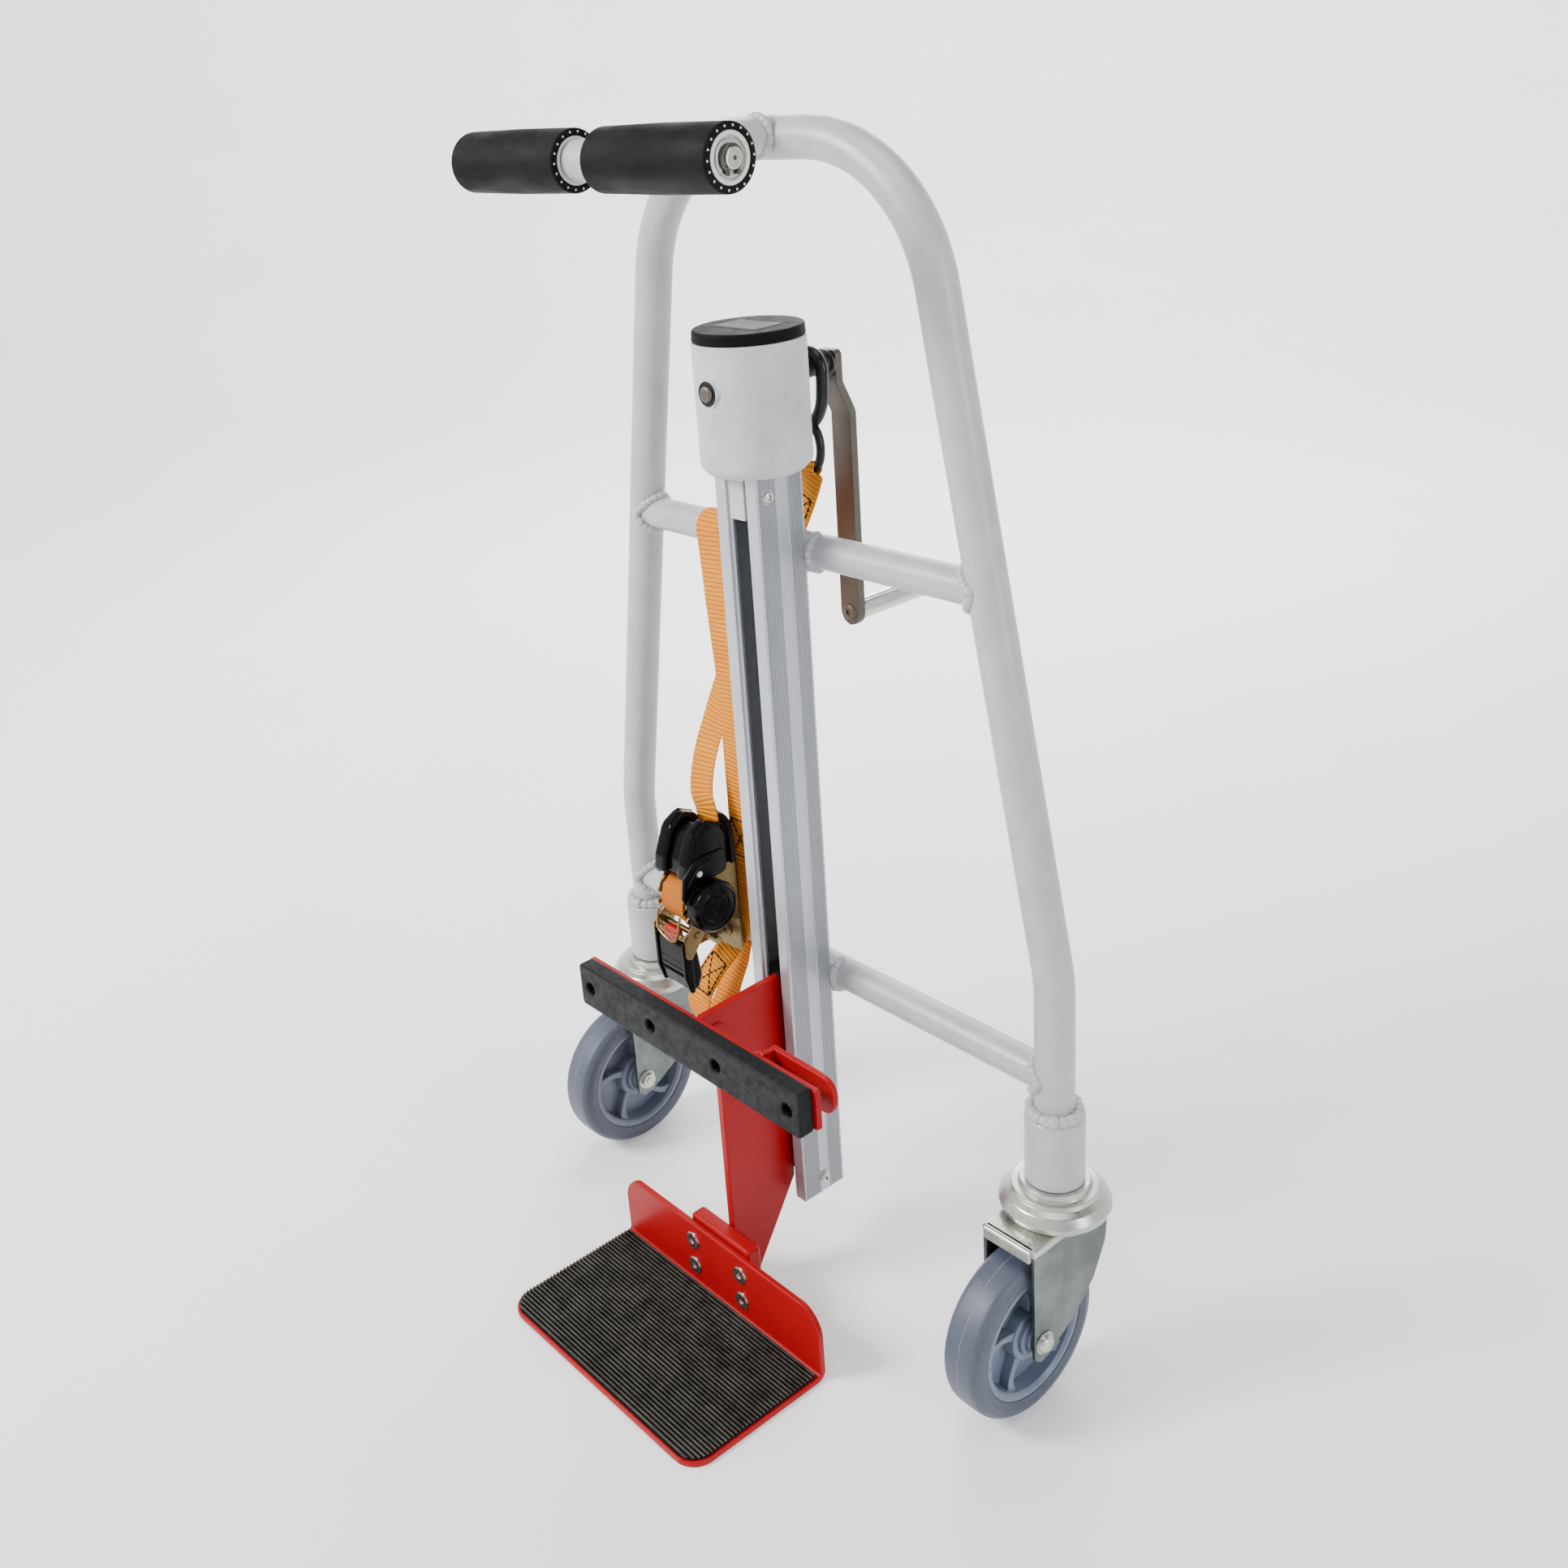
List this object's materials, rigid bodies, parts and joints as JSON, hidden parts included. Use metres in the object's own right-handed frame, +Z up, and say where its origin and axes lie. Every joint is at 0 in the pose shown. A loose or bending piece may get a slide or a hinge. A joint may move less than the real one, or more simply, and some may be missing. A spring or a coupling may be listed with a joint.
{
  "type": "furniture lifting dolly",
  "caption": "Bent-tube lifting dolly on swivel casters: crank and lead screw raise a carriage with foot plate and bumper; roller push handle and ratchet strap.",
  "frame": {"origin": "on the floor under the middle of the whole object's bounding box", "axes": "+Z up, +Y towards the operator, -Y towards the load, +X to the operator's left when facing the load"},
  "size_m": [0.644, 0.48, 1.092],
  "materials": {
    "paint": "satin silver-grey powder coat",
    "anodised": "satin anodised extrusion",
    "zinc": "bright zinc plate",
    "steel": "bare and nickel plated steel",
    "yellow_zinc": "yellow zinc plate on steel, coloured like brass",
    "red_paint": "gloss red powder coat",
    "black_plastic": "moulded black",
    "black_rubber": "matt",
    "tyre": "blue-grey thermoplastic rubber",
    "rim": "light blue-grey moulding",
    "webbing": "ribbed orange polyester webbing"
  },
  "bodies": {
    "frame": {"leg_left": "paint", "leg_right": "paint", "hoop_arch": "paint", "cross_tube_upper": "paint", "cross_tube_lower": "paint", "caster_socket_left": "paint", "caster_socket_right": "paint", "push_tube": "paint", "push_collar": "zinc", "roller_axle": "steel", "lift_column": "anodised", "column_bolt_upper": "zinc", "column_bolt_lower": "zinc", "slot_insert": "paint", "screw_foot_bearing": "steel", "gear_head": "paint", "gear_head_cap": "black_plastic", "ratchet_base": "yellow_zinc", "retractor_hood": "black_plastic", "strap_sling": "webbing", "strap_hook_run": "webbing", "snap_hook": "black_plastic"},
    "carriage": {"lift_nut": "steel", "carriage_web": "red_paint", "bumper_plate": "red_paint", "bumper_rubber": "black_rubber", "foot_block": "red_paint", "foot_plate": "red_paint", "foot_mat": "black_rubber", "flange_screw_upper_left": "zinc", "flange_screw_lower_left": "zinc", "flange_screw_upper_right": "zinc", "flange_screw_lower_right": "zinc"},
    "screw": {"lead_screw": "steel", "bevel_gear": "steel"},
    "crank": {"crank_shaft": "steel", "bevel_pinion": "steel", "shaft_end_screw": "zinc", "crank_arm": "steel", "grip_pin": "steel"},
    "grip": {"crank_grip": "zinc"},
    "caster_left": {"caster_head_left": "zinc", "caster_fork_left": "zinc", "caster_axle_left": "zinc"},
    "wheel_left": {"wheel_rim_left": "rim", "wheel_tyre_left": "tyre"},
    "caster_right": {"caster_head_right": "zinc", "caster_fork_right": "zinc", "caster_axle_right": "zinc"},
    "wheel_right": {"wheel_rim_right": "rim", "wheel_tyre_right": "tyre"},
    "roller_left": {"roller_left": "black_rubber"},
    "roller_right": {"roller_right": "black_rubber"},
    "ratchet_spool": {"ratchet_arbor": "black_plastic", "strap_roll": "webbing"},
    "ratchet_handle": {"ratchet_lever": "yellow_zinc", "ratchet_lever_grip": "black_plastic"},
    "hook_gate": {"hook_gate": "zinc"}
  },
  "joints": [
    {"name": "crank_turn", "type": "hinge", "parent": "frame", "child": "crank", "pos_m": [0, 0.079, 0.8775], "axis": [0, 1, 0], "range_deg": [0, 10800]},
    {"name": "carriage_lift", "type": "slide", "parent": "frame", "child": "carriage", "axis": [0, 0, 1], "range_m": [0, 0.3001]},
    {"name": "screw_turn", "type": "hinge", "parent": "frame", "child": "screw", "pos_m": [0, 0.0378, 0.4], "axis": [0, 0, 1], "range_deg": [0, 10805]},
    {"name": "grip_spin", "type": "hinge", "parent": "crank", "child": "grip", "pos_m": [0, 0.179, 0.6495], "axis": [0, 1, 0], "continuous": true},
    {"name": "caster_swivel_left", "type": "hinge", "parent": "frame", "child": "caster_left", "pos_m": [0.274, 0.079, 0.2], "axis": [0, 0, 1], "continuous": true},
    {"name": "wheel_spin_left", "type": "hinge", "parent": "caster_left", "child": "wheel_left", "pos_m": [0.274, 0.029, 0.08], "axis": [1, 0, 0], "continuous": true},
    {"name": "roller_spin_left", "type": "hinge", "parent": "frame", "child": "roller_left", "pos_m": [0.086, -0.103, 1.068], "axis": [1, 0, 0], "continuous": true},
    {"name": "caster_swivel_right", "type": "hinge", "parent": "frame", "child": "caster_right", "pos_m": [-0.274, 0.079, 0.2], "axis": [0, 0, 1], "continuous": true},
    {"name": "wheel_spin_right", "type": "hinge", "parent": "caster_right", "child": "wheel_right", "pos_m": [-0.274, 0.029, 0.08], "axis": [1, 0, 0], "continuous": true},
    {"name": "roller_spin_right", "type": "hinge", "parent": "frame", "child": "roller_right", "pos_m": [-0.086, -0.103, 1.068], "axis": [1, 0, 0], "continuous": true},
    {"name": "ratchet_handle_swing", "type": "hinge", "parent": "frame", "child": "ratchet_handle", "pos_m": [-0.108, 0.009, 0.372], "axis": [1, 0, 0], "range_deg": [-65, 0]},
    {"name": "ratchet_spool_spin", "type": "hinge", "parent": "frame", "child": "ratchet_spool", "pos_m": [-0.108, 0.009, 0.372], "axis": [1, 0, 0], "continuous": true},
    {"name": "hook_gate_swing", "type": "hinge", "parent": "frame", "child": "hook_gate", "pos_m": [-0.0145, 0.103, 0.828], "axis": [0, 1, 0], "range_deg": [0, 25], "stiffness_Nm_per_rad": 0.02, "springref_deg": -22.92}
  ],
  "couplings": [
    {"joint": "carriage_lift", "follows": "crank_turn", "m_per_rad": 0.0015915},
    {"joint": "screw_turn", "follows": "crank_turn", "ratio": 1}
  ]
}
